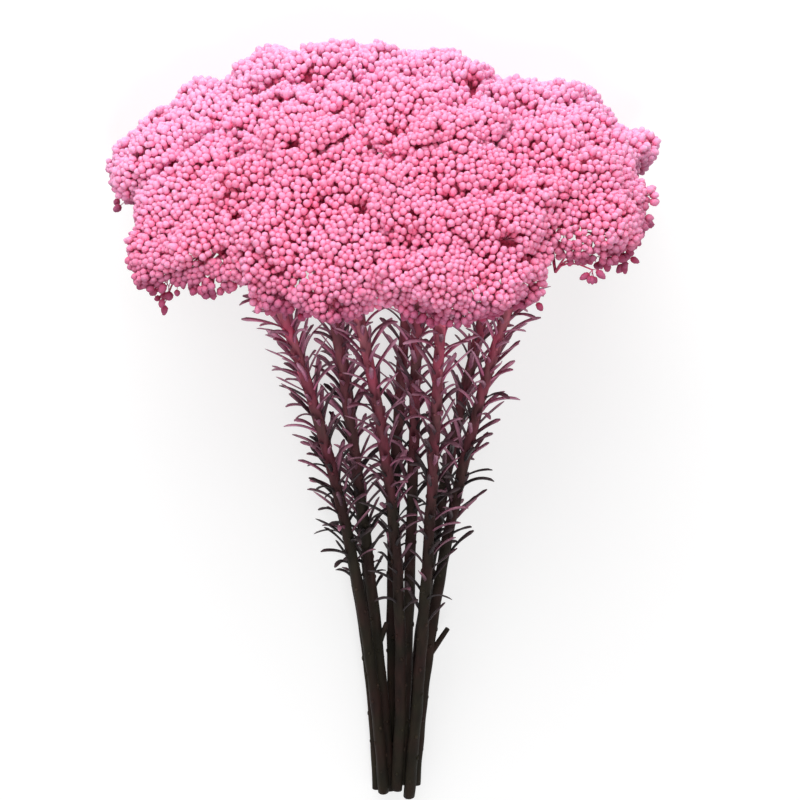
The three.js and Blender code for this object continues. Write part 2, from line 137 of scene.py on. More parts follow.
# The buds: an outer layer that is pushed apart until it is even, inner buds in its gaps
# and hanging buds at the rim. How many stay near the rim is a level, a slope and a least.
OUTER, INNER, HANGING = range(3)
BUD_SEED = 71
BUD_RADIUS = (1.6, 2.22)
INNER_BUD_RADIUS = (1.5, 2.0)
BUD_FULLNESS = 0.06
BUD_SHOULDER = 0.1
BUD_TIP = 1.06
BUD_LUMPS = 0.045
BUD_STRETCH = (1.02, 1.3)
BUD_AREA = 12.6
BUD_AXIS = (0.6, 0.55)
BUD_TILT = 0.28
OUTER_DEPTH = (1.0, 3.2)
INNER_DEPTH = (3.4, 8.7)
OUTER_AT_RIM = (0.88, 0.8, 0.32)
INNER_AT_RIM = (0.5, 1.0, 0.08)
INNER_TRIES = 5000
INNER_OVERLAP = 0.85
PUSH_ROUNDS = 22
PUSH_STRENGTH = 0.45
PUSH_RANGE = 0.98
PUSH_PROBE = 0.004
PUSH_LONGEST = 0.05
PUSH_DAMPING = 1e-3
LEAST_DISTANCE = 1e-6

# Painted light and shade on the buds: toward the back of the crown, where the light falls, they
# are painted paler as painted light, and low on the outside of a head they are painted darker as
# painted shade
PAINTED_LIGHT_AT_MIDDLE = 0.6
PAINTED_LIGHT_RANGE = 95
PAINTED_LIGHT_SHARE = 0.62
PAINTED_SHADE_FROM = 11
PAINTED_SHADE_RANGE = 14

# The stalks: neck, branches to the clusters, branchlets to the umbels, stalks to the buds
HUB_DEPTH = 44
NECK_LENGTH = 29
NECK_END_RADIUS = 1.3
NECK_RINGS = 10
NECK_SIDES = 12
NECK_TONES = (0.0, 0.4)
CLUSTER_NODE_DEPTH = 21
CLUSTER_PULL = 0.24
BRANCH_ROOTS = (0.12, 0.2)
BRANCH_LEVELS = 4
BRANCH_MIDDLE = 0.45
BRANCH_BULGE = 0.12
BRANCH_SAG = 0.1
BRANCH = dict(radii=(1.15, 0.75), rings=8, sides=7, tone=0.4)
UMBEL_DEPTH = 11.8
UMBEL_UPRIGHTING = 0.25
BRANCHLET = dict(radii=(0.62, 0.42), rings=5, sides=5, tone=0.7)
STALK_REACH = 0.9
STALK_BEND = 0.45
OUTER_STALK = dict(radii=(0.3, 0.22), rings=3, sides=3, tone=1.0)
INNER_STALK = dict(radii=(0.3, 0.22), rings=2, sides=3, tone=1.0)

# The closed layer of dense small stalks under the inner buds, whose darker tone is painted shade
# of the head's depths
CORE_DEPTH = 10
CORE_UNEVENNESS = 1.3
CORE_THICKNESS = 1.2
CORE_START = 0.03
CORE_END = (0.56, 0.88)
CORE_RIM = 0.74
CORE_SIDES = 36
CORE_RINGS = 12
CORE_PAINTED_SHADE_TONE = 0.6
PIT_SINK = 4
PIT_REACH = 9

# The stems, with shallow ripples along and round them
STEM_CUT = -13
CUT_VARIES = 2.5
STEM_SWEEP = 0.5
CURVE_SAMPLES = 440
FOOT_CENTRE = -2
FOOT_PITCH = 6.4
FOOT_RADIUS = 2.95
TOP_RADIUS = 2.6
STEM_SIDES = 16
STEM_RINGS = 110
STEM_RIPPLE = 0.19
RIPPLES_ALONG = (47, 91, 5)
RIPPLES_ROUND = (1, 2, 3)
RIPPLE_STRENGTHS = (1, 0.7, 0.8)
RIPPLE_PHASES = 6
SHOOT_RADII = (1.7, 1.3)
SHOOT_RINGS = 5
SHOOT_SIDES = 10
SHOOT_LEAN = radians(24)
SCARS_PER_STEM = 60
SCARS_FROM_TO = (0.03, 0.97)
SCAR_SIZE = (1.0, 1.3, 0.36)
SCAR_VARIES = (0.8, 1.25)
SCAR_FIRST_TURN = 1.7
SCAR_SINK = 0.02
SCAR_PALENESS = (0.5, 1.0)

# The leaves. A leaf widens from its foot and narrows to its tip over shares of its length.
LEAF_SEED = 505
LEAF_SHADES = 0.4
LEAVES_PER_STEM = 92
LEAF_LENGTH = 25
LEAF_LENGTH_VARIES = (0.68, 1.12)
LOW_LEAF_LENGTH = 0.72
LEAF_WIDTH = 2.35
LEAF_FOOT = (0.6, 2)
LEAF_TIP = (1.02, 0.14)
LEAF_THICKNESS = 0.55
LEAF_THINNING = (1.04, 0.2)
LEAF_ROOT = 0.6
LEAF_LEAN = (20, 42)
LEAF_ARCH = (0, 72)
LEAF_ARCH_GROWTH = 1.3
LEAF_SWAY = 0.45
LEAF_TWIST = 60
LEAF_TWIST_GROWTH = 1.5
LEAF_FOLD = (0.1, 0.7)
LEAF_STEPS = 9
LEAF_SIDES = 4
LEAF_FROM = (0.27, 0.42)
LEAF_TO = 0.97
LEAF_CROWDING = 0.8
LEAF_JITTER = 0.6
LEAF_CLEARANCE = 0.25
LEAF_TRIES = 9
LEAF_TRY_TURN = radians(40)

# Stems and leaves keep clear of other stems' leaves as rough lines of a few points
STEM_LINE_STEP = 9
LEAF_LINE_STEP = 3
LEAF_LINE_RADIUS = LEAF_WIDTH / 3

# Each stem's head (its place across and toward the front, its reach and how far it stands
# above the crown), its foot in the gathered bundle, counted in foot pitches, its bow, and
# its cut side shoot, if it has one (how far up it is, the side it is on and its length)
STEMS = [
    dict(x=-92, z=44, reach=52, rise=0, foot=(-1, 0.87), bow=(5, 0), shoot=(0.4, 210, 9)),
    dict(x=-38, z=70, reach=60, rise=0, foot=(0, 0.87), bow=(13, 4), shoot=None),
    dict(x=26, z=75, reach=60, rise=0, foot=(1, 0.87), bow=(6, 4), shoot=None),
    dict(x=84, z=38, reach=51, rise=1, foot=(1.5, 0), bow=(-4, 0), shoot=(0.22, 0, 20)),
    dict(x=-102, z=-28, reach=52, rise=8, foot=(-1.5, 0), bow=(10, 0), shoot=None),
    dict(x=-52, z=18, reach=58, rise=-2, foot=(-0.5, 0), bow=(0, 0), shoot=(0.24, 30, 16)),
    dict(x=12, z=22, reach=58, rise=-2, foot=(0.5, 0), bow=(2, 0), shoot=None),
    dict(x=-50, z=-42, reach=55, rise=7, foot=(-1, -0.87), bow=(0, -3), shoot=None),
    dict(x=14, z=-36, reach=56, rise=0, foot=(0, -0.87), bow=(-8, -3), shoot=None),
    dict(x=76, z=-38.6, reach=55, rise=-1, foot=(1, -0.87), bow=(-6, -3), shoot=(0.33, 60, 10)),
]

# The stage and its light, in metres
WHITE = (1, 1, 1, 1)
FLOOR_RADIUS = 12
FLOOR_SIDES = 96
FLOOR_COLOUR = (0.45, 0.45, 0.45, 1)
FLOOR_GLOW = 0.62
WORLD_LIGHT = 0.36
LIGHT_AIM = (0, 0.1, 0.08)
LIGHTS = [
    dict(name="key", place=(-0.4, 2.7, 1.4), size=3.2, energy=104),
    dict(name="fill", place=(0.2, -0.4, 2.6), size=0.8, energy=20),
]

# The camera looks down on the bunch, far off, with the heads up in the picture
CAMERA_TILT = radians(12)
CAMERA_DISTANCE = 4.0
CAMERA_AIM = (0.0082, 0.006, 0.0)
SENSOR = 36
VIEW_WIDTH = 0.4
VIEW_DEPTH = 0.09

# A colour Mix node's sockets: its factor, its two colours and its result
MIX_INPUTS = (0, 6, 7)
MIX_RESULT = 2


# Small helpers


def unit(vectors):
    return vectors / np.maximum(norm(vectors, axis=-1, keepdims=True), TINY)


def lerp(a, b, share):
    return a + (b - a) * share


def turns_round(count):
    return 2 * pi * np.arange(count) / count


def draw(random, bounds, size=None):
    return random.uniform(bounds[0], bounds[1], size)


def to_row(points):
    x, y, z = np.moveaxis(np.asarray(points, float), -1, 0)
    along = y * cos(TILT) - z * sin(TILT) + ALONG
    height = y * sin(TILT) + z * cos(TILT) + LIFT
    return MM * np.stack([x + ACROSS, along, height], -1)


UP = np.array([0.0, sin(TILT), cos(TILT)])


def height_of(points):
    """How high points lie above the resting surface."""
    return points @ UP + LIFT


def new_object(name, data):
    made = bpy.data.objects.new(name, data)
    bpy.context.scene.collection.objects.link(made)
    return made


# Meshes


class Parts:
    """The points, faces and values of a piece, gathered part by part."""

    def __init__(self):
        self.points = []
        self.faces = []
        self.values = {}
        self.count = 0

    def add(self, points, faces, **values):
        """Each value is one number for every point of the part, or one for them all."""
        points = points.reshape(-1, 3)
        for alike in faces:
            self.faces += (alike + self.count).tolist()
        for label, value in values.items():
            self.values.setdefault(label, []).append(np.broadcast_to(value, len(points)))
        self.points.append(points)
        self.count += len(points)


def make_piece(kind, slot, index, parts, material):
    """One piece of a stem or a head, kept above the resting surface."""
    number = f"_{index + 1:02d}"
    mesh = bpy.data.meshes.new(kind + number)
    placed = to_row(np.concatenate(parts.points))
    placed[:, 2] = np.maximum(placed[:, 2], 0)
    mesh.from_pydata(placed, [], parts.faces, shade_flat=False)
    mesh.validate()
    for label, values in parts.values.items():
        layer = mesh.attributes.new(label, "FLOAT", "POINT")
        layer.data.foreach_set("value", np.concatenate(values).astype(np.float32))
    mesh.materials.append(material)
    piece = new_object(kind + number, mesh)
    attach(piece, "root")
    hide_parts(slot + number)


def ring_faces(rows, rings, sides):
    """Faces of rows of rods, each a stack of rings, with both ends closed."""
    base = np.arange(rows)[:, None, None] * rings * sides
    ring = np.arange(rings - 1)[None, :, None] * sides
    side = np.arange(sides)[None, None, :]
    here = base + ring + side
    beside = base + ring + (side + 1) % sides
    quads = np.stack([here, beside, beside + sides, here + sides], -1).reshape(-1, 4)
    low = base[:, 0] + np.arange(sides)[::-1]
    high = base[:, 0] + (rings - 1) * sides + np.arange(sides)
    return [quads, np.concatenate([low, high])]


def square_frames(directions, reference):
    """Two directions square to each direction and to each other."""
    aside = unit(np.cross(reference, directions))
    return aside, np.cross(directions, aside)


def steady_reference(directions):
    """For each direction, an axis that is well away from it."""
    clear = np.abs(directions[..., 2:3]) < NEAR_FORWARD
    return np.where(clear, FORWARD, ASIDE)


def rods(paths, radii, sides):
    """Rings of points round many paths: paths is (rods, rings, 3), radii (rods, rings)."""
    directions = unit(np.gradient(paths, axis=1))
    reference = steady_reference(directions[:, :1])
    aside, ahead = square_frames(directions, np.broadcast_to(reference, directions.shape))
    turns = turns_round(sides)[:, None]
    spokes = aside[..., None, :] * np.cos(turns) + ahead[..., None, :] * np.sin(turns)
    return paths[..., None, :] + radii[..., None, None] * spokes


def bent(starts, controls, ends, rings):
    """Paths that leave their starts toward the controls and arrive at the ends."""
    share = np.linspace(0, 1, rings)[None, :, None]
    first = lerp(starts[:, None], controls[:, None], share)
    second = lerp(controls[:, None], ends[:, None], share)
    return lerp(first, second, share)


# The plan of the bunch


def plan_stem(index, row):
    stem = SimpleNamespace(index=index, leaves=[], **row)
    inside = 1 - (stem.x / CROWN_HALF_WIDTH) ** 2 - (stem.z / CROWN_HALF_DEPTH) ** 2
    y = CROWN_BASE + CROWN_HEIGHT * sqrt(inside)
    slope = np.array([
        stem.x / CROWN_HALF_WIDTH**2,
        (y - CROWN_BASE) / CROWN_HEIGHT**2,
        stem.z / CROWN_HALF_DEPTH**2,
    ])
    stem.axis = unit(lerp(unit(slope), UPRIGHT, HEAD_UPRIGHTING))
    stem.top = np.array([stem.x, y, stem.z]) + stem.rise * stem.axis
    stem.aside = unit(np.cross(FORWARD, stem.axis))
    stem.ahead = np.cross(stem.axis, stem.aside)
    stem.middle = stem.top - WIDEST_DEPTH * stem.axis
    stem.hub = stem.top - HUB_DEPTH * stem.axis
    across = FOOT_CENTRE + stem.foot[0] * FOOT_PITCH
    cut = STEM_CUT + CUT_VARIES * sin(index * GOLDEN_ANGLE)
    foot = np.array([across, cut, stem.foot[1] * FOOT_PITCH])
    stem.path, stem.tangents = stem_path(foot, stem)
    return stem


def stem_path(foot, stem):
    """Points at even steps along a stem's curve, and the directions there."""
    third = norm(stem.hub - foot) / 3
    bow = np.array([stem.bow[0], 0, stem.bow[1]])
    low = lerp(foot + third * UPRIGHT, lerp(foot, stem.hub, 1 / 3), STEM_SWEEP) + bow
    high = lerp(stem.hub - third * stem.axis, lerp(foot, stem.hub, 2 / 3), STEM_SWEEP) + bow
    t = np.linspace(0, 1, CURVE_SAMPLES)[:, None]
    curve = (
        foot * (1 - t) ** 3
        + 3 * low * t * (1 - t) ** 2
        + 3 * high * t**2 * (1 - t)
        + stem.hub * t**3
    )
    path = even_steps(curve, curve, STEM_RINGS)
    return path, unit(np.gradient(path, axis=0))


def even_steps(line, values, count):
    """A line's values at even steps along it."""
    steps = norm(np.diff(line, axis=0), axis=1)
    lengths = np.concatenate([[0], np.cumsum(steps)])
    even = np.linspace(0, lengths[-1], count)
    return np.stack([np.interp(even, lengths, column) for column in values.T], -1)


def wall_between(head, other):
    """The plane midway between two heads, as its normal and offset."""
    normal = other.middle - head.middle
    axis = unit(head.axis + other.axis)
    normal = unit(normal - axis * (normal @ axis))
    return normal, normal @ (head.middle + other.middle) / 2 - WALL_GAP / 2


def press_back(head, points):
    """Neighbouring heads press on each other, and their clusters cross the wall a little."""
    for normal, offset in head.walls:
        beyond = points @ normal - (offset + SEAM_CROSSING)
        points = points - np.maximum(beyond, 0)[..., None] * normal
    return points


# The skin of a head


def outward_of(head, turns):
    return np.cos(turns)[..., None] * head.aside + np.sin(turns)[..., None] * head.ahead


def reach_at(head, turns):
    """How far a head reaches at each turn, less where a neighbour is in its way."""
    outward = outward_of(head, turns)
    total = np.full(turns.shape, float(head.reach) ** -CORNER_SHARPNESS)
    for normal, offset in head.walls:
        toward = outward @ normal
        room = offset - head.middle @ normal + WALL_PRESS
        near = toward > 0
        total[near] += (room / toward[near]) ** -CORNER_SHARPNESS
    return total ** (-1 / CORNER_SHARPNESS)


def dome_spot(width, turns):
    """Spots on a dome at an angle from its axis, and which way they face: outward, upward."""
    sine = np.sin(turns)
    cosine = np.cos(turns)
    slope = np.hypot(DOME_HEIGHT * sine, width * cosine)
    at = np.stack([width * sine, DOME_HEIGHT * (cosine - 1)], -1)
    return at, np.stack([DOME_HEIGHT * sine, width * cosine], -1) / slope[..., None]


def dome_edge(reach, width):
    """The angle at which a dome ends, so that its lip reaches as far as the head does."""
    edge = np.zeros_like(reach)
    step = EDGE_STEP
    while step > EDGE_PRECISION:
        at, facing = dome_spot(width, edge + step)
        edge += step * (at[:, 0] + LIP_RADIUS * (1 - facing[:, 0]) < reach)
        step /= 2
    return edge


def outlines(reach, width):
    """The outline of a head at each turn, from the middle of its top to the lip's inner edge."""
    edge = dome_edge(reach, width)
    spots = [dome_spot(width, edge * k / DOME_STEPS) for k in range(DOME_STEPS + 1)]
    at, facing = spots[-1]
    centre = at - LIP_RADIUS * facing
    start = np.arctan2(facing[:, 0], facing[:, 1])
    for k in range(1, LIP_STEPS + 1):
        turn = lerp(start, LIP_END, k / LIP_STEPS)
        way = np.stack([np.sin(turn), np.cos(turn)], -1)
        spots.append((centre + LIP_RADIUS * way, way))
    return [np.stack(column, 1) for column in zip(*spots)]


def make_skin(head):
    """A grid over the head: where its bare skin is and which way it faces."""
    turns = np.linspace(0, 2 * pi, GRID_TURNS + 1)
    reach = reach_at(head, turns)
    ats, facings = outlines(reach, lerp(reach, head.reach, CREASE_SHALLOWNESS))
    both = np.concatenate([ats, facings], -1)
    even = np.stack([even_steps(a, b, GRID_SHARES + 1) for a, b in zip(ats, both)])
    outward = outward_of(head, turns)[:, None]
    head.skin = head.top + outward * even[..., 0:1] + head.axis * even[..., 1:2]
    head.facing = unit(outward * even[..., 2:3] + head.axis * even[..., 3:4])


def on_grid(grid, turn, share):
    """A grid's values at turns and shares, between its points."""
    i = np.mod(turn / (2 * pi), 1) * GRID_TURNS
    j = np.clip(share, 0, 1) * GRID_SHARES
    low_i = np.minimum(i.astype(int), GRID_TURNS - 1)
    low_j = np.minimum(j.astype(int), GRID_SHARES - 1)
    part_i = (i - low_i)[..., None]
    part_j = (j - low_j)[..., None]
    near = lerp(grid[low_i, low_j], grid[low_i, low_j + 1], part_j)
    far = lerp(grid[low_i + 1, low_j], grid[low_i + 1, low_j + 1], part_j)
    return lerp(near, far, part_i)


def cluster_centres(head):
    reach = reach_at(head, turns_round(REACH_SAMPLES)).mean()
    count = round((2 * reach / CLUSTER_SPACING) ** 2)
    order = np.arange(count)
    share = CLUSTER_SPREAD * np.sqrt((order + CLUSTER_START) / count)
    turn = head.index + order * GOLDEN_ANGLE
    return on_grid(head.skin, turn, share)


def warp(points):
    x, y, z = np.moveaxis(points, -1, 0)
    waves = [y + WARP_SHEAR * z, z + WARP_SHEAR * x, x - WARP_SHEAR * y]
    shift = np.zeros(points.shape)
    for k, length in enumerate(WARP_LENGTHS):
        share = length / WARP_LENGTHS[0]
        shift += share * np.stack([np.sin(wave / length + 2 * k + 1) for wave in waves], -1)
    return points + WARP * shift


def seam_nearness(head, points):
    """1 at a seam with a neighbour, falling to 0 some way from it."""
    gaps = [offset - points @ normal for normal, offset in head.walls]
    return np.clip(1 - np.min(gaps, axis=0) / SEAM_RANGE, 0, 1)


def seam_fill(points):
    """How far the crown rises at a seam: in some places it is a valley, in others level."""
    x, y, z = np.moveaxis(points, -1, 0)
    first, second = SEAM_WAVES
    wave = np.sin(x / first + SEAM_PHASES[0])
    wave = wave + np.sin(y / second + z / first + SEAM_PHASES[1])
    return lerp(*SEAM_FILL, np.clip(0.5 + SEAM_SWING * wave, 0, 1))


def swell(head, random):
    """Clusters swell the top of the head and fade out down its sides."""
    away = norm(head.skin[:, :, None] - head.clusters, axis=-1)
    strength = draw(random, CLUSTER_RELIEF, len(head.clusters))
    upness = head.facing @ head.axis
    topness = np.sqrt(np.maximum(0, upness))
    raised = topness * (strength * np.maximum(0, 1 - (away / CLUSTER_RADIUS) ** 2)).max(-1)
    swollen = head.skin + head.facing * raised[..., None]
    swollen = press_back(head, swollen)
    level, slope = SEAM_ON_TOP
    fill = seam_fill(swollen) * seam_nearness(head, swollen) ** 2
    fill = fill * np.clip(level + slope * upness, 0, 1)
    head.swollen = warp(swollen + fill[..., None] * head.axis)


# Places on a head


def on_head(head, flat, depth=0.0):
    """Places on a head, from places on a flat disc of radius 1, some way under the skin."""
    x, y = flat.T
    turn = np.arctan2(y, x)
    share = np.hypot(x, y)
    at = on_grid(head.swollen, turn, share)
    facing = unit(on_grid(head.facing, turn, share))
    return at - facing * np.reshape(depth, (-1, 1)), facing


def cell_areas(head):
    grid = head.swollen
    across = grid[1:, :-1] - grid[:-1, :-1]
    down = grid[:-1, 1:] - grid[:-1, :-1]
    return norm(np.cross(across, down), axis=-1)


def scattered(head, random, count):
    """Places on the flat disc that fall evenly on the head."""
    areas = cell_areas(head).ravel()
    cell = random.choice(len(areas), count, p=areas / areas.sum())
    turn = 2 * pi * (cell // GRID_SHARES + random.random(count)) / GRID_TURNS
    share = (cell % GRID_SHARES + random.random(count)) / GRID_SHARES
    return np.stack([share * np.cos(turn), share * np.sin(turn)], -1)


def wanted_moves(at, radii):
    """How far each place would move to get clear of those that crowd it."""
    away = at[:, None] - at[None]
    distance = norm(away, axis=-1) + LEAST_DISTANCE
    wanted = PUSH_RANGE * (radii[:, None] + radii[None])
    push = np.maximum(0, wanted - distance) / distance
    np.fill_diagonal(push, 0)
    return PUSH_STRENGTH * np.einsum("ij,ijk->ik", push, away)


def pushed_apart(head, flat, radii):
    """Moves places over the head until each has room."""
    probes = (np.array([PUSH_PROBE, 0]), np.array([0, PUSH_PROBE]))
    for _ in range(PUSH_ROUNDS):
        at, _ = on_head(head, flat)
        move = wanted_moves(at, radii)
        along = [(on_head(head, flat + probe)[0] - at) / PUSH_PROBE for probe in probes]
        normal = np.array([[(a * b).sum(-1) for b in along] for a in along])
        wished = np.array([(a * move).sum(-1) for a in along])
        scale = normal[0, 0] * normal[1, 1] - normal[0, 1] ** 2 + PUSH_DAMPING
        step = np.stack([
            (normal[1, 1] * wished[0] - normal[0, 1] * wished[1]) / scale,
            (normal[0, 0] * wished[1] - normal[0, 1] * wished[0]) / scale,
        ], -1)
        flat = flat + np.clip(step, -PUSH_LONGEST, PUSH_LONGEST)
        flat = flat / np.maximum(1, norm(flat, axis=1, keepdims=True))
    return on_head(head, flat)


def nearest_of(points, places):
    distance = norm(points[:, None] - places, axis=-1)
    return distance.argmin(1), distance.min(1)


# The buds


def plan_umbels(head, random):
    """Where a head's umbels are, which way they face and how far they stand out."""
    count = round(cell_areas(head).sum() / UMBEL_AREA)
    flat = scattered(head, random, count)
    at, facing = pushed_apart(head, flat, np.full(count, UMBEL_SPACING / 2))
    spread = lerp(RIM_LIFT, UMBEL_LIFT, np.maximum(0, facing @ head.axis))
    lift = spread * random.normal(0, 1, count)
    head.umbels = SimpleNamespace(at=at, facing=facing, lift=lift)


def add_umbels(head, places, facing, lift):
    umbels = head.umbels
    umbels.at = np.vstack([umbels.at, places])
    umbels.facing = np.vstack([umbels.facing, facing])
    umbels.lift = np.append(umbels.lift, np.full(len(places), lift))


def stays(head, random, facing, chance):
    """Which buds are left where a head thins out toward its rim and its underside."""
    level, slope, least = chance
    return random.random(len(facing)) < np.clip(level + slope * (facing @ head.axis), least, 1)


def outer_buds(head, random):
    """Buds on domed umbels that stand out or sit back a little."""
    umbels = head.umbels
    count = round(cell_areas(head).sum() / BUD_AREA)
    flat = scattered(head, random, count)
    radii = draw(random, BUD_RADIUS, count)
    at, facing = pushed_apart(head, flat, radii)
    own, away = nearest_of(at, umbels.at)
    edge = np.minimum(1, away / (UMBEL_EDGE * UMBEL_SPACING))
    depth = draw(random, OUTER_DEPTH, count) + UMBEL_RELIEF * edge**2 - umbels.lift[own]
    at = lerp(at, umbels.at[own], UMBEL_PULL) - depth[:, None] * facing
    left = stays(head, random, facing, OUTER_AT_RIM)
    return at[left], facing[left], radii[left]


def inner_buds(head, random, at, radii):
    """Smaller buds wherever there is room for one under the outer buds."""
    flat = scattered(head, random, INNER_TRIES)
    depth = np.sort(draw(random, INNER_DEPTH, INNER_TRIES))
    new_at, new_facing = on_head(head, flat, depth)
    new_radii = draw(random, INNER_BUD_RADIUS, INNER_TRIES)
    kept = []
    for k in range(INNER_TRIES):
        room = norm(at - new_at[k], axis=1) - INNER_OVERLAP * (radii + new_radii[k])
        if room.min() > 0:
            at = np.vstack([at, new_at[k]])
            radii = np.append(radii, new_radii[k])
            kept.append(k)
    kept = np.array(kept)[stays(head, random, new_facing[kept], INNER_AT_RIM)]
    return new_at[kept], new_facing[kept], new_radii[kept]


def hanging_buds(head, random):
    """Loose little umbels that hang at the rim, under the dense buds."""
    order = np.arange(HANGING_UMBELS) + random.random(HANGING_UMBELS)
    turns = 2 * pi * order / HANGING_UMBELS
    reach = reach_at(head, turns) * draw(random, HANGING_SHARE, HANGING_UMBELS)
    drop = draw(random, HANGING_DROP, HANGING_UMBELS)
    outward = outward_of(head, turns)
    places = warp(head.top + reach[:, None] * outward - drop[:, None] * head.axis)
    at, facing = [], []
    for place, out in zip(places, outward):
        for _ in range(random.integers(*HANGING_BUDS)):
            way = unit(random.normal(0, 1, 3) + HANGING_OUTNESS * out)
            at.append(place + HANGING_RADIUS * way)
            facing.append(unit(HANGING_FACING[0] * out + way - HANGING_FACING[1] * head.axis))
    add_umbels(head, places, unit(outward - HANGING_DROOP * head.axis), -UMBEL_DEPTH)
    return np.array(at), np.array(facing), draw(random, INNER_BUD_RADIUS, len(at))


def outside_pits(head, random, at):
    """Which buds are left round small pits, each of which shows the spray of an umbel."""
    places, facing = on_head(head, scattered(head, random, PIT_TRIES))
    _, away = nearest_of(places, head.umbels.at)
    away[facing @ head.axis < PIT_UPNESS] = 0
    left = np.ones(len(at), bool)
    pits = np.argsort(-away)[:PITS]
    head.pits = places[pits]
    add_umbels(head, places[pits], facing[pits], 0)
    for k in pits:
        offset = at - places[k]
        depth = -(offset @ facing[k])
        aside = norm(offset + depth[:, None] * facing[k], axis=1)
        narrowed = 1 - PIT_NARROWING * np.clip(depth / PIT_DEPTH, 0, 1)
        left &= (aside > draw(random, PIT_RADIUS) * narrowed) | (depth > PIT_DEPTH)
    return left


def plan_buds(head, random):
    """The places, directions and sizes of a head's buds, the outer ones first."""
    plan_umbels(head, random)
    outer = outer_buds(head, random)
    inner = inner_buds(head, random, outer[0], outer[2])
    groups = (outer, inner, hanging_buds(head, random))
    at, facing, radii = (np.concatenate(part) for part in zip(*groups))
    layer = np.repeat([OUTER, INNER, HANGING], [len(group[0]) for group in groups])
    head.buds = SimpleNamespace(at=at, facing=facing, radii=radii, layer=layer)
    keep_buds(head.buds, outside_pits(head, random, at))
    low = np.maximum(0, head.buds.radii - height_of(head.buds.at))
    head.buds.at = head.buds.at + low[:, None] * UP


def keep_buds(buds, left):
    for label, values in vars(buds).items():
        setattr(buds, label, values[left])


def bud_form(sides, rings):
    """A bud of length and width 2: round, a little fuller below, with a faint tip."""
    points = [[0, 0, -1]]
    for k in range(1, rings):
        angle = pi * k / rings
        height = -cos(angle)
        radius = sin(angle) * (1 - BUD_FULLNESS * height)
        radius *= 1 - BUD_SHOULDER * max(0, height) ** 3
        for j in range(sides):
            turn = 2 * pi * (j + 0.5 * k) / sides
            points.append([radius * cos(turn), radius * sin(turn), height])
    points.append([0, 0, BUD_TIP])
    last = len(points) - 1
    top = last - sides
    around = [(j, (j + 1) % sides) for j in range(sides)]
    faces = [[0, 1 + m, 1 + j] for j, m in around]
    faces += [[last, top + j, top + m] for j, m in around]
    for low in range(1, top, sides):
        for j, m in around:
            faces.append([low + j, low + m, low + sides + m])
            faces.append([low + j, low + sides + m, low + sides + j])
    return np.array(points), np.array(faces)


OUTER_FORM = bud_form(7, 5)
INNER_FORM = bud_form(6, 4)


def placed_buds(buds, which, form, random):
    """Copies of a bud form at the chosen buds, with how high up the bud each point is."""
    points, faces = form
    count = len(which)
    axis = buds.axis[which]
    aside, ahead = square_frames(axis, steady_reference(axis))
    spin = draw(random, (0, 2 * pi), count)[:, None]
    right = aside * np.cos(spin) + ahead * np.sin(spin)
    front = ahead * np.cos(spin) - aside * np.sin(spin)
    radii = buds.radii[which][:, None, None]
    stretch = buds.stretch[which][:, None, None]
    points = points * random.normal(1, BUD_LUMPS, (count, len(points), 1))
    placed = (
        buds.at[which][:, None]
        + radii * points[..., 0:1] * right[:, None]
        + radii * points[..., 1:2] * front[:, None]
        + radii * stretch * points[..., 2:3] * axis[:, None]
    )
    numbers = faces[None] + np.arange(count)[:, None, None] * points.shape[1]
    rise = (points[..., 2] + 1) / 2
    return placed, numbers.reshape(-1, 3), rise.ravel()


def make_buds(head, random, material):
    buds = head.buds
    # Toward the back of the crown the buds are painted paler: painted light, mixed with each
    # bud's random tone
    painted_back_light = np.clip(PAINTED_LIGHT_AT_MIDDLE - buds.at[:, 2] / PAINTED_LIGHT_RANGE, 0, 1)
    shade = lerp(random.random(len(painted_back_light)), painted_back_light, PAINTED_LIGHT_SHARE)
    # Low on the outside of a head and on the hanging buds, the buds are painted darker: painted
    # shade
    depth = -((buds.at - head.top) @ head.axis)
    dusk = np.clip((depth - PAINTED_SHADE_FROM) / PAINTED_SHADE_RANGE, 0, 1)
    dusk = dusk * (1 - seam_nearness(head, buds.at))
    dusk[buds.layer == HANGING] = 1
    parts = Parts()
    for form, chosen in ((OUTER_FORM, buds.layer != INNER), (INNER_FORM, buds.layer == INNER)):
        which = np.flatnonzero(chosen)
        at, faces, rise = placed_buds(buds, which, form, random)
        each = len(form[0])
        parts.add(
            at, [faces],
            rise=rise,
            shade=np.repeat(shade[which], each),
            inner=float(form is INNER_FORM),
            dusk=np.repeat(dusk[which], each),
        )
    make_piece("buds", "head", head.index, parts, material)


def interlock(heads, random):
    """Where buds of two heads would share a place at a seam, one of them goes."""
    at = np.concatenate([head.buds.at for head in heads])
    radii = np.concatenate([head.buds.radii for head in heads])
    owner = np.repeat(np.arange(len(heads)), [len(head.buds.at) for head in heads])
    rank = random.random(len(at))
    tree = KDTree(len(at))
    for k, place in enumerate(at):
        tree.insert(place, k)
    tree.balance()
    left = np.ones(len(at), bool)
    for k in np.argsort(rank):
        for _, other, distance in tree.find_range(at[k], 2 * SEAM_OVERLAP * BUD_RADIUS[1]):
            meets = distance < SEAM_OVERLAP * (radii[k] + radii[other])
            if left[k] and meets and owner[other] != owner[k]:
                left[other] = False
    for index, head in enumerate(heads):
        keep_buds(head.buds, left[owner == index])


# The stalks under the buds


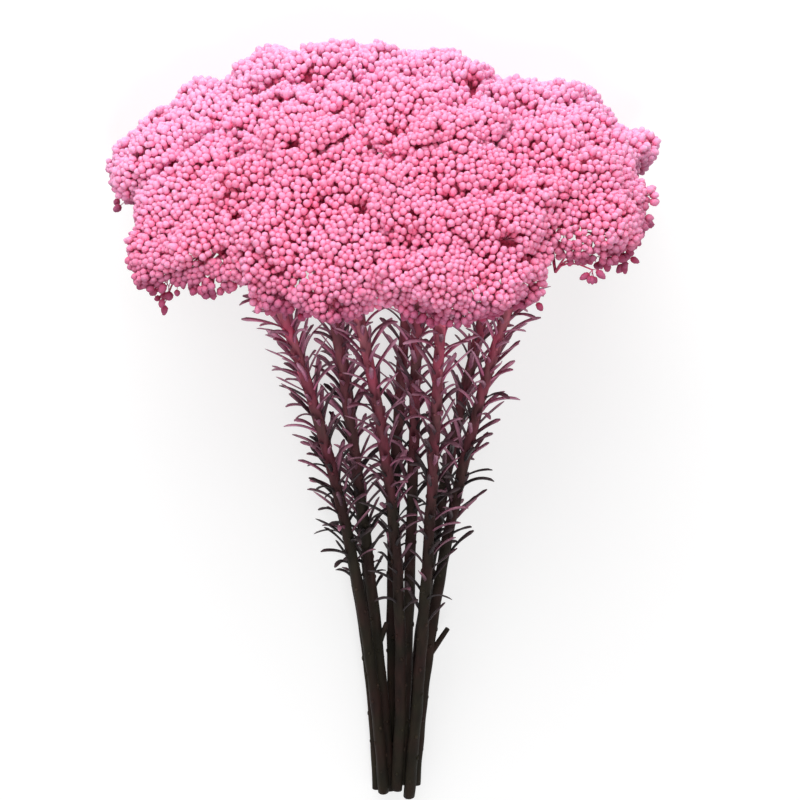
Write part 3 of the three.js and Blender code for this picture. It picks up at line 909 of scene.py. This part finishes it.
def plan_stalks(head, random):
    """Buds stand on umbels, umbels on clusters and clusters on the neck."""
    buds, umbels = head.buds, head.umbels
    sunk = (UMBEL_DEPTH + umbels.lift)[:, None]
    umbels.node = umbels.at - sunk * unit(lerp(umbels.facing, head.axis, UMBEL_UPRIGHTING))
    buds.umbel, _ = nearest_of(buds.at - UMBEL_DEPTH / 2 * buds.facing, umbels.node)
    inward = head.top - head.clusters
    inward = inward - (inward @ head.axis)[:, None] * head.axis
    head.nodes = head.clusters + CLUSTER_PULL * inward - CLUSTER_NODE_DEPTH * head.axis
    umbels.cluster, _ = nearest_of(umbels.node, head.nodes)
    out = unit(buds.at - umbels.node[buds.umbel])
    lean = random.normal(0, BUD_TILT, buds.at.shape)
    buds.axis = unit(BUD_AXIS[0] * out + BUD_AXIS[1] * buds.facing + lean)
    buds.stretch = draw(random, BUD_STRETCH, len(buds.at))
    buds.stretch[buds.layer == HANGING] *= HANGING_STRETCH


def core_rings(head, random):
    """The closed layer that the densest small stalks make under the inner buds."""
    turns = np.linspace(0, 2 * pi, CORE_SIDES, endpoint=False)
    rim = on_grid(head.swollen, turns, np.full(CORE_SIDES, CORE_RIM))
    ends = lerp(*CORE_END, seam_nearness(head, rim))
    turn, part = (grid.ravel() for grid in np.meshgrid(turns, np.linspace(0, 1, CORE_RINGS)))
    share = lerp(CORE_START, np.tile(ends, CORE_RINGS), part)
    flat = np.stack([share * np.cos(turn), share * np.sin(turn)], -1)
    skin, _ = on_head(head, flat)
    _, away = nearest_of(skin, head.pits)
    depth = CORE_DEPTH + random.normal(0, CORE_UNEVENNESS, len(flat))
    depth = depth + PIT_SINK * np.maximum(0, 1 - (away / PIT_REACH) ** 2)
    upper, _ = on_head(head, flat, depth)
    lower, _ = on_head(head, flat, depth + CORE_THICKNESS)
    upper = upper.reshape(CORE_RINGS, CORE_SIDES, 3)
    lower = lower.reshape(CORE_RINGS, CORE_SIDES, 3)
    return np.concatenate([lower, upper[::-1]])


def add_rods(parts, starts, controls, ends, radii, rings, sides, tone):
    paths = bent(starts, controls, ends, rings)
    taper = np.broadcast_to(np.linspace(*radii, rings), paths.shape[:2])
    parts.add(rods(paths, taper, sides), ring_faces(len(paths), rings, sides), tone=tone)


def add_bud_stalks(parts, head):
    buds = head.buds
    reach = (buds.radii * buds.stretch)[:, None]
    ends = buds.at - STALK_REACH * reach * buds.axis
    starts = head.umbels.node[buds.umbel]
    length = norm(ends - starts, axis=1, keepdims=True)
    controls = ends - STALK_BEND * length * buds.axis
    outer = buds.layer != INNER
    for chosen, stalk in ((outer, OUTER_STALK), (~outer, INNER_STALK)):
        add_rods(parts, starts[chosen], controls[chosen], ends[chosen], **stalk)


def add_branchlets(parts, head):
    ends = head.umbels.node
    starts = head.nodes[head.umbels.cluster]
    rise = norm(ends - starts, axis=1, keepdims=True)
    controls = starts + rise / 2 * head.axis
    add_rods(parts, starts, controls, ends, **BRANCHLET)


def add_branches(parts, head):
    """Branches leave the neck at a few levels in turn and bulge under the clusters."""
    first, step = BRANCH_ROOTS
    level = NECK_LENGTH * (first + step * (np.arange(len(head.nodes)) % BRANCH_LEVELS))
    roots = head.hub + level[:, None] * head.axis
    controls = lerp(roots, head.nodes, BRANCH_MIDDLE)
    controls = controls + BRANCH_BULGE * (head.nodes - roots) - BRANCH_SAG * HUB_DEPTH * head.axis
    add_rods(parts, roots, controls, head.nodes, **BRANCH)


def add_neck(parts, head):
    share = np.linspace(0, 1, NECK_RINGS)
    path = head.hub + share[:, None] * NECK_LENGTH * head.axis
    taper = lerp(TOP_RADIUS, NECK_END_RADIUS, share)
    rings = rods(path[None], taper[None], NECK_SIDES)
    tone = np.repeat(lerp(*NECK_TONES, share), NECK_SIDES)
    parts.add(rings, ring_faces(1, NECK_RINGS, NECK_SIDES), tone=tone)


def make_stalks(head, random, material):
    parts = Parts()
    for add in (add_bud_stalks, add_branchlets, add_branches, add_neck):
        add(parts, head)
    core = core_rings(head, random)
    # The core layer is painted darker than the bud stalks: painted shade deep in the head
    parts.add(core, ring_faces(1, len(core), CORE_SIDES), tone=CORE_PAINTED_SHADE_TONE)
    make_piece("stalks", "head", head.index, parts, material)


# The stems


def stem_radius(share):
    return lerp(FOOT_RADIUS, TOP_RADIUS, share)


def at_share(stem, share):
    """A place on a stem and its direction there."""
    i = np.clip(share, 0, 1) * (STEM_RINGS - 1)
    low = min(int(i), STEM_RINGS - 2)
    at = lerp(stem.path[low], stem.path[low + 1], i - low)
    return at, unit(lerp(stem.tangents[low], stem.tangents[low + 1], i - low))


def beside_stem(stem, share, turn):
    """A place on a stem, its direction there, and the way outward at a turn round it."""
    at, axis = at_share(stem, share)
    aside = unit(np.cross(axis, FORWARD))
    ahead = np.cross(aside, axis)
    return at, axis, cos(turn) * aside + sin(turn) * ahead


def stem_ripple(share, random):
    turn = turns_round(STEM_SIDES)
    phase = draw(random, (0, 2 * pi), RIPPLE_PHASES)
    along = [share[:, None] * waves for waves in RIPPLES_ALONG]
    around = [turn * waves for waves in RIPPLES_ROUND]
    strengths = RIPPLE_STRENGTHS
    return (
        strengths[0] * np.sin(along[0] + phase[0]) * np.sin(around[0] + phase[1])
        + strengths[1] * np.sin(along[1] + phase[2]) * np.sin(around[1] + phase[3])
        + strengths[2] * np.sin(around[2] + phase[4] + along[2])
    )


def add_shoot(parts, stem):
    """The short side shoot that was cut off a stem."""
    share, side, length = stem.shoot
    at, axis, outward = beside_stem(stem, share, radians(side))
    end = at + length * (cos(SHOOT_LEAN) * axis + sin(SHOOT_LEAN) * outward)
    path = lerp(at, end, np.linspace(0, 1, SHOOT_RINGS)[:, None])
    taper = np.linspace(*SHOOT_RADII, SHOOT_RINGS)
    rings = rods(path[None], taper[None], SHOOT_SIDES)
    parts.add(rings, ring_faces(1, SHOOT_RINGS, SHOOT_SIDES), height=share, bare=0)


def add_scars(parts, stem, random):
    """The small raised scars that fallen leaves left on the stem."""
    form, faces = INNER_FORM
    for k in range(SCARS_PER_STEM):
        share = lerp(*SCARS_FROM_TO, (k + random.random()) / SCARS_PER_STEM)
        at, axis, outward = beside_stem(stem, share, SCAR_FIRST_TURN + k * GOLDEN_ANGLE)
        across = np.cross(axis, outward)
        centre = at + outward * (stem_radius(share) - SCAR_SINK)
        size = np.array(SCAR_SIZE) * draw(random, SCAR_VARIES)
        placed = centre + form @ (size[:, None] * np.array([across, axis, outward]))
        parts.add(placed, [faces], height=share, bare=draw(random, SCAR_PALENESS))


def make_bark(stem, random, material):
    share = np.linspace(0, 1, STEM_RINGS)
    rings = rods(stem.path[None], stem_radius(share)[None], STEM_SIDES)[0]
    spokes = unit(rings - stem.path[:, None])
    rings = rings + STEM_RIPPLE * stem_ripple(share, random)[..., None] * spokes
    parts = Parts()
    heights = np.repeat(share, STEM_SIDES)
    parts.add(rings, ring_faces(1, STEM_RINGS, STEM_SIDES), height=heights, bare=0)
    if stem.shoot:
        add_shoot(parts, stem)
    add_scars(parts, stem, random)
    make_piece("bark", "stem", stem.index, parts, material)


# The leaves


def leaf_line(stem, share, turn, habit):
    """The points along a leaf's middle, and the way across it."""
    at, axis, outward = beside_stem(stem, share, turn)
    across = np.cross(axis, outward)
    lean = radians(habit["lean"])
    arch = radians(habit["arch"])
    points = [at + LEAF_ROOT * stem_radius(share) * outward]
    step = habit["length"] / LEAF_STEPS
    for k in range(LEAF_STEPS):
        part = (k + 0.5) / LEAF_STEPS
        angle = lean + arch * part**LEAF_ARCH_GROWTH
        way = cos(angle) * axis + sin(angle) * outward
        points.append(points[-1] + step * unit(way + habit["sway"] * part * across))
    return np.array(points), across


def leaf_habit(order, share, random):
    """How long a leaf is, how it bends and how pale it is."""
    length = LEAF_LENGTH * lerp(LOW_LEAF_LENGTH, 1, order) * draw(random, LEAF_LENGTH_VARIES)
    return dict(
        length=length,
        lean=draw(random, LEAF_LEAN),
        arch=draw(random, LEAF_ARCH),
        sway=draw(random, (-LEAF_SWAY, LEAF_SWAY)),
        twist=radians(draw(random, (-LEAF_TWIST, LEAF_TWIST))),
        fold=draw(random, LEAF_FOLD),
        shade=random.random(),
        share=share,
    )


def plan_leaves(stem, obstacles, random):
    """Leaves climb the stem by the golden angle, and one that would meet a neighbour is
    turned round the stem until it is clear."""
    others = np.array([line for owner, line in obstacles if owner != stem.index])
    lowest = draw(random, LEAF_FROM)
    for k in range(LEAVES_PER_STEM):
        order = (k + LEAF_JITTER * random.random()) / LEAVES_PER_STEM
        share = lerp(lowest, LEAF_TO, order**LEAF_CROWDING)
        habit = leaf_habit(order, share, random)
        for attempt in range(LEAF_TRIES):
            turn = k * GOLDEN_ANGLE + LEAF_TRY_TURN * attempt
            line, across = leaf_line(stem, share, turn, habit)
            if is_clear(line[1:], others) and height_of(line).min() > LEAF_WIDTH / 2:
                stem.leaves.append(SimpleNamespace(line=line, across=across, **habit))
                add_obstacle(obstacles, line[::LEAF_LINE_STEP], LEAF_LINE_RADIUS, stem.index)
                break


def add_obstacle(obstacles, points, radius, owner):
    for start, end in zip(points[:-1], points[1:]):
        obstacles.append((owner, [*start, *end, radius]))


def is_clear(points, lines):
    """Whether a leaf's points keep off all lines, each a start, an end and a radius."""
    start = lines[:, 0:3]
    span = lines[:, 3:6] - start
    away = points[:, None] - start
    part = np.clip((away * span).sum(-1) / (span * span).sum(-1), 0, 1)
    distance = norm(away - part[..., None] * span, axis=-1)
    return bool((distance > lines[:, 6] + LEAF_LINE_RADIUS + LEAF_CLEARANCE).all())


def leaf_rings(leaf, part):
    """Four points round the leaf at each step: its edges, its channel and its keel."""
    along = unit(np.gradient(leaf.line, axis=0))
    above = unit(np.cross(along, leaf.across))
    across = np.cross(above, along)
    turn = (leaf.twist * part**LEAF_TWIST_GROWTH)[:, None]
    side = across * np.cos(turn) + above * np.sin(turn)
    up = above * np.cos(turn) - across * np.sin(turn)
    foot = np.minimum(1, LEAF_FOOT[0] + LEAF_FOOT[1] * part)
    tip = np.minimum(1, (LEAF_TIP[0] - part) / LEAF_TIP[1]) ** 0.5
    half = (LEAF_WIDTH * foot * tip / 2)[:, None]
    lift = up * (leaf.fold * half)
    thinning = np.minimum(1, (LEAF_THINNING[0] - part) / LEAF_THINNING[1])
    keel = leaf.line - up * (LEAF_THICKNESS * thinning[:, None])
    edges = [leaf.line - side * half + lift, leaf.line + side * half + lift]
    return np.stack([edges[0], leaf.line, edges[1], keel], 1)


def make_leaves(stem, material):
    parts = Parts()
    part = np.linspace(0, 1, LEAF_STEPS + 1)
    rings = np.array([leaf_rings(leaf, part) for leaf in stem.leaves])
    tones = [leaf.share + LEAF_SHADES * (leaf.shade - 0.5) for leaf in stem.leaves]
    parts.add(
        rings, ring_faces(len(rings), LEAF_STEPS + 1, LEAF_SIDES),
        tip=np.tile(np.repeat(part, LEAF_SIDES), len(rings)),
        tone=np.repeat(tones, LEAF_SIDES * len(part)),
        # The keel points carry the painted shade of the leaf's underside
        under=np.tile([0, 0, 0, 1], len(part) * len(rings)),
    )
    make_piece("leaves", "stem", stem.index, parts, material)


# Materials


def new_material(name):
    material = bpy.data.materials.new(name)
    material.use_nodes = True
    return material, material.node_tree


def shader_of(tree):
    return tree.nodes["Principled BSDF"]


def set_inputs(node, values):
    for name, value in values.items():
        node.inputs[name].default_value = value


def add_node(tree, kind, **settings):
    node = tree.nodes.new(kind)
    for key, value in settings.items():
        if key in node.inputs:
            node.inputs[key].default_value = value
        else:
            setattr(node, key, value)
    return node


def feed(tree, socket, value):
    """Gives a socket another socket, an attribute by its name, a colour or a number."""
    if isinstance(value, str):
        value = add_node(tree, "ShaderNodeAttribute", attribute_name=value).outputs["Fac"]
    if isinstance(value, bpy.types.NodeSocket):
        tree.links.new(value, socket)
    elif isinstance(value, tuple):
        socket.default_value = (*value, 1)
    else:
        socket.default_value = value


def ramp(tree, factor, *stops):
    node = tree.nodes.new("ShaderNodeValToRGB")
    elements = node.color_ramp.elements
    for (place, colour), element in zip((stops[0], stops[-1]), elements):
        element.position = place
        element.color = (*colour, 1)
    for place, colour in stops[1:-1]:
        elements.new(place).color = (*colour, 1)
    feed(tree, node.inputs["Fac"], factor)
    return node.outputs["Color"]


def grey_ramp(tree, factor, *stops):
    return ramp(tree, factor, *((place, (level,) * 3) for place, level in stops))


def mixed(tree, factor, first, second, blend="MIX"):
    node = add_node(tree, "ShaderNodeMix", data_type="RGBA", blend_type=blend)
    for index, value in zip(MIX_INPUTS, (factor, first, second)):
        feed(tree, node.inputs[index], value)
    return node.outputs[MIX_RESULT]


def multiplied(tree, first, second, factor=1.0):
    return mixed(tree, factor, first, second, "MULTIPLY")


def noise(tree, scale, detail=3.0, stretch=None):
    """Noise in the piece's own coordinates, in metres, if stretched then along the stems."""
    place = tree.nodes.new("ShaderNodeTexCoord").outputs["Object"]
    if stretch:
        mapping = add_node(tree, "ShaderNodeMapping", Scale=stretch)
        tree.links.new(place, mapping.inputs["Vector"])
        place = mapping.outputs["Vector"]
    node = add_node(tree, "ShaderNodeTexNoise", Scale=scale, Detail=detail)
    tree.links.new(place, node.inputs["Vector"])
    return node.outputs["Fac"]


def set_surface(tree, colour, roughness, specular):
    tree.links.new(colour, shader_of(tree).inputs["Base Color"])
    set_inputs(shader_of(tree), {"Roughness": roughness, "Specular IOR Level": specular})


def set_bump(tree, height, strength, distance):
    node = add_node(tree, "ShaderNodeBump", Strength=strength, Distance=distance)
    tree.links.new(height, node.inputs["Height"])
    tree.links.new(node.outputs["Normal"], shader_of(tree).inputs["Normal"])


def bud_material():
    """Papery pink buds, paler at the tip and rosier toward the stalk: partly their own colour,
    partly painted light on the tip and painted shade at the base; with painted shade on the
    inner, low and hanging buds and painted light toward the back.
    """
    material, tree = new_material("bud_pink")
    # Along each bud: partly its own colour, partly painted light on the tip and painted shade
    # toward the stalk
    body = ramp(
        tree, "rise",
        (0.05, (0.98, 0.21, 0.39)),
        (0.45, (0.98, 0.43, 0.65)),
        (0.95, (0.97, 0.52, 0.73)),
    )
    # Each bud's random tone, whose pale end also carries the painted light at the back of the
    # crown
    tone_and_painted_light = ramp(
        tree, "shade",
        (0.0, (1.0, 0.66, 0.73)),
        (0.5, (0.99, 0.86, 0.92)),
        (1.0, (1.0, 1.02, 1.04)),
    )
    body = multiplied(tree, body, tone_and_painted_light)
    # Painted shade for buds low on a head and for hanging buds
    dusky = multiplied(tree, body, (0.48, 0.29, 0.37))
    # Inner buds are painted a deeper crimson: painted shade of the crevices they sit in
    body = mixed(tree, "inner", body, (1.0, 0.27, 0.46))
    body = mixed(tree, "dusk", body, dusky)
    speckle = noise(tree, scale=1400, detail=2)
    speckle = ramp(tree, speckle, (0.35, (0.97, 0.84, 0.88)), (0.7, (1.0, 1.0, 1.0)))
    set_surface(tree, multiplied(tree, body, speckle, factor=0.6), roughness=0.75, specular=0.15)
    set_inputs(shader_of(tree), {
        "Subsurface Weight": 0.25,
        "Subsurface Radius": (1.0, 0.35, 0.5),
        "Subsurface Scale": 0.0012,
    })
    set_bump(tree, noise(tree, scale=800), strength=0.5, distance=0.0005)
    return material


def stalk_material():
    """Stalks, mauve at the neck and deep rose among the buds, and darker on the core layer as
    painted shade of the head's depths.
    """
    material, tree = new_material("stalk_rose")
    body = ramp(
        tree, "tone",
        (0.0, (0.13, 0.035, 0.06)),
        (0.4, (0.55, 0.07, 0.16)),
        # The core layer's tone: painted shade of the head's depths
        (0.6, (0.8, 0.09, 0.21)),
        (1.0, (0.94, 0.28, 0.45)),
    )
    fibres = noise(tree, scale=650)
    streaks = grey_ramp(tree, fibres, (0.36, 0.5), (0.62, 1.0))
    set_surface(tree, multiplied(tree, body, streaks), roughness=0.75, specular=0.2)
    set_bump(tree, fibres, strength=0.7, distance=0.0007)
    return material


def bark_material():
    """Bark, rosy mauve under the heads, near black lower down, with paler scars."""
    material, tree = new_material("bark")
    body = ramp(
        tree, "height",
        (0.2, (0.017, 0.0105, 0.007)),
        (0.5, (0.028, 0.016, 0.015)),
        (0.7, (0.19, 0.06, 0.09)),
        (0.85, (0.5, 0.115, 0.21)),
        (1.0, (0.78, 0.15, 0.3)),
    )
    streaks = noise(tree, scale=260, detail=5, stretch=(1, 0.08, 1))
    body = multiplied(tree, body, grey_ramp(tree, streaks, (0.3, 0.6), (0.72, 1.5)))
    patches = noise(tree, scale=45, detail=2)
    patches = ramp(tree, patches, (0.38, (0.85, 1.1, 0.8)), (0.62, (1.35, 0.9, 0.95)))
    body = multiplied(tree, body, patches)
    scars = multiplied(tree, body, (1.7, 1.7, 1.7))
    body = mixed(tree, "bare", body, scars)
    set_surface(tree, body, roughness=0.75, specular=0.25)
    set_bump(tree, streaks, strength=0.6, distance=0.0005)
    return material


def leaf_material():
    """Leaves, mauve near the heads and darker down the stem, with tips painted lighter and pinker
    as a painted highlight and keels painted darker as painted shade on the underside.
    """
    material, tree = new_material("leaf_mauve")
    body = ramp(
        tree, "tone",
        (0.42, (0.03, 0.02, 0.022)),
        (0.56, (0.15, 0.064, 0.088)),
        (0.7, (0.52, 0.17, 0.29)),
        (0.95, (0.92, 0.25, 0.47)),
    )
    painted_tip_highlight = ramp(
        tree, "tone",
        (0.42, (0.1, 0.06, 0.068)),
        (0.6, (0.7, 0.29, 0.42)),
        (0.95, (0.98, 0.55, 0.74)),
    )
    # Toward the tip the leaves are painted lighter and pinker: a painted highlight
    tip = grey_ramp(tree, "tip", (0.25, 0.0), (1.0, 0.85))
    body = mixed(tree, tip, body, painted_tip_highlight)
    # The keel on the leaf's underside is painted darker: painted shade
    under = grey_ramp(tree, "under", (0.2, 0.0), (1.0, 0.5))
    body = mixed(tree, under, body, (0.02, 0.012, 0.018))
    patches = grey_ramp(tree, noise(tree, scale=160), (0.3, 0.6), (0.7, 1.15))
    set_surface(tree, multiplied(tree, body, patches), roughness=0.6, specular=0.5)
    veins = noise(tree, scale=700, stretch=(1, 0.15, 1))
    set_bump(tree, veins, strength=0.4, distance=0.0003)
    return material


# Stage, lights and camera


def make_stage():
    bpy.ops.mesh.primitive_circle_add(vertices=FLOOR_SIDES, radius=FLOOR_RADIUS, fill_type="NGON")
    floor = bpy.context.object
    floor.name = "floor"
    material, tree = new_material("floor_white")
    set_inputs(shader_of(tree), {
        "Base Color": FLOOR_COLOUR,
        "Emission Color": WHITE,
        "Emission Strength": FLOOR_GLOW,
        "Roughness": 0.9,
        "Specular IOR Level": 0.1,
    })
    floor.data.materials.append(material)


def make_light(name, place, size, energy):
    data = bpy.data.lights.new(name, "AREA")
    data.shape = "DISK"
    data.size = size
    data.energy = energy
    light = new_object(name, data)
    light.location = place
    way = Vector(LIGHT_AIM) - Vector(place)
    light.rotation_euler = way.to_track_quat("-Z", "Y").to_euler()


def make_lights():
    world = bpy.context.scene.world or bpy.data.worlds.new("studio")
    bpy.context.scene.world = world
    world.use_nodes = True
    background = world.node_tree.nodes["Background"]
    set_inputs(background, {"Color": WHITE, "Strength": WORLD_LIGHT})
    for settings in LIGHTS:
        make_light(**settings)


def make_camera():
    data = bpy.data.cameras.new("camera")
    data.sensor_width = SENSOR
    data.lens = SENSOR * (CAMERA_DISTANCE - VIEW_DEPTH) / VIEW_WIDTH
    camera = new_object("camera", data)
    back = Vector((0, sin(CAMERA_TILT), cos(CAMERA_TILT)))
    place = Matrix.Translation(Vector(CAMERA_AIM) + CAMERA_DISTANCE * back)
    camera.matrix_world = place @ Matrix.Rotation(-CAMERA_TILT, 4, "X")
    bpy.context.scene.camera = camera


# Putting it together


def plan_bunch(random):
    stems = [plan_stem(index, row) for index, row in enumerate(STEMS)]
    for stem in stems:
        stem.walls = [wall_between(stem, other) for other in stems if other is not stem]
        make_skin(stem)
        stem.clusters = cluster_centres(stem)
        swell(stem, random)
    return stems


def make_bunch():
    stems = plan_bunch(np.random.default_rng(CLUSTER_SEED))
    bud, stalk, bark, leaf = bud_material(), stalk_material(), bark_material(), leaf_material()
    obstacles = []
    randoms = [np.random.default_rng(BUD_SEED + stem.index) for stem in stems]
    for stem, random in zip(stems, randoms):
        plan_buds(stem, random)
    interlock(stems, np.random.default_rng(BUD_SEED))
    for stem, random in zip(stems, randoms):
        plan_stalks(stem, random)
        make_buds(stem, random, bud)
        make_stalks(stem, random, stalk)
        make_bark(stem, random, bark)
        add_obstacle(obstacles, stem.path[::STEM_LINE_STEP], FOOT_RADIUS, stem.index)
    for stem in stems:
        plan_leaves(stem, obstacles, np.random.default_rng(LEAF_SEED + stem.index))
        make_leaves(stem, leaf)


bpy.context.scene.view_settings.view_transform = "Standard"
make_stage()
make_lights()
make_camera()
make_bunch()
